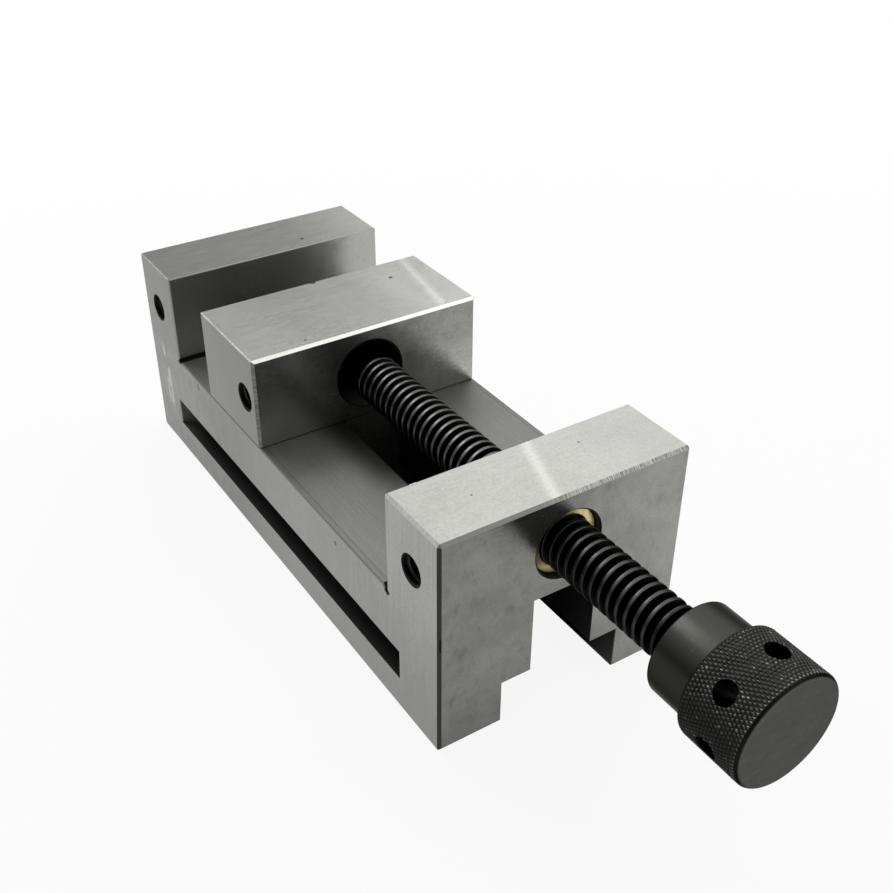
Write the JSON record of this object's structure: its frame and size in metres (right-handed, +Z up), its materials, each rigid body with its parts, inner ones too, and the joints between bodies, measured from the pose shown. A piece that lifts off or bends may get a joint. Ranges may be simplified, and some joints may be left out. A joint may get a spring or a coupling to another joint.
{
  "type": "precision vise",
  "caption": "Screw-type precision tool vise: U-shaped ground steel body, sliding jaw with a V groove, trapezoidal lead screw in a brass nut, knurled knob with tommy-bar holes.",
  "frame": {"origin": "on the surface the vise stands on, under the middle of its whole length with the knob", "axes": "+X along the lead screw towards the knob, +Y across the jaws to the right side, +Z up"},
  "size_m": [0.247, 0.073, 0.0644],
  "materials": {
    "ground_steel": "satin, ground",
    "keeper_steel": "ground",
    "black_oxide": "black oxide, lightly oiled",
    "brass": "turned, slightly dull",
    "hardened_steel": "hardened and ground"
  },
  "bodies": {
    "vise": {"vise_body": "ground_steel", "screw_nut": "brass", "nut_lock_screw": "black_oxide"},
    "jaw": {"movable_jaw": "ground_steel", "keeper_plate": "keeper_steel", "keeper_screws": "black_oxide", "retaining_ring": "black_oxide", "thrust_pad": "hardened_steel", "ring_lock_screw": "black_oxide"},
    "screw": {"lead_screw": "black_oxide", "knob": "black_oxide", "knob_set_screw": "black_oxide"}
  },
  "joints": [
    {"name": "jaw_slide", "type": "slide", "parent": "vise", "child": "jaw", "axis": [1, 0, 0], "range_m": [-0.02456, 0.07091]},
    {"name": "screw_spin", "type": "hinge", "parent": "jaw", "child": "screw", "pos_m": [0, 0, 0.0496], "axis": [1, 0, 0], "range_deg": [-2948, 8510]}
  ],
  "couplings": [
    {"joint": "screw_spin", "follows": "jaw_slide", "rad_per_m": 2094.4}
  ]
}
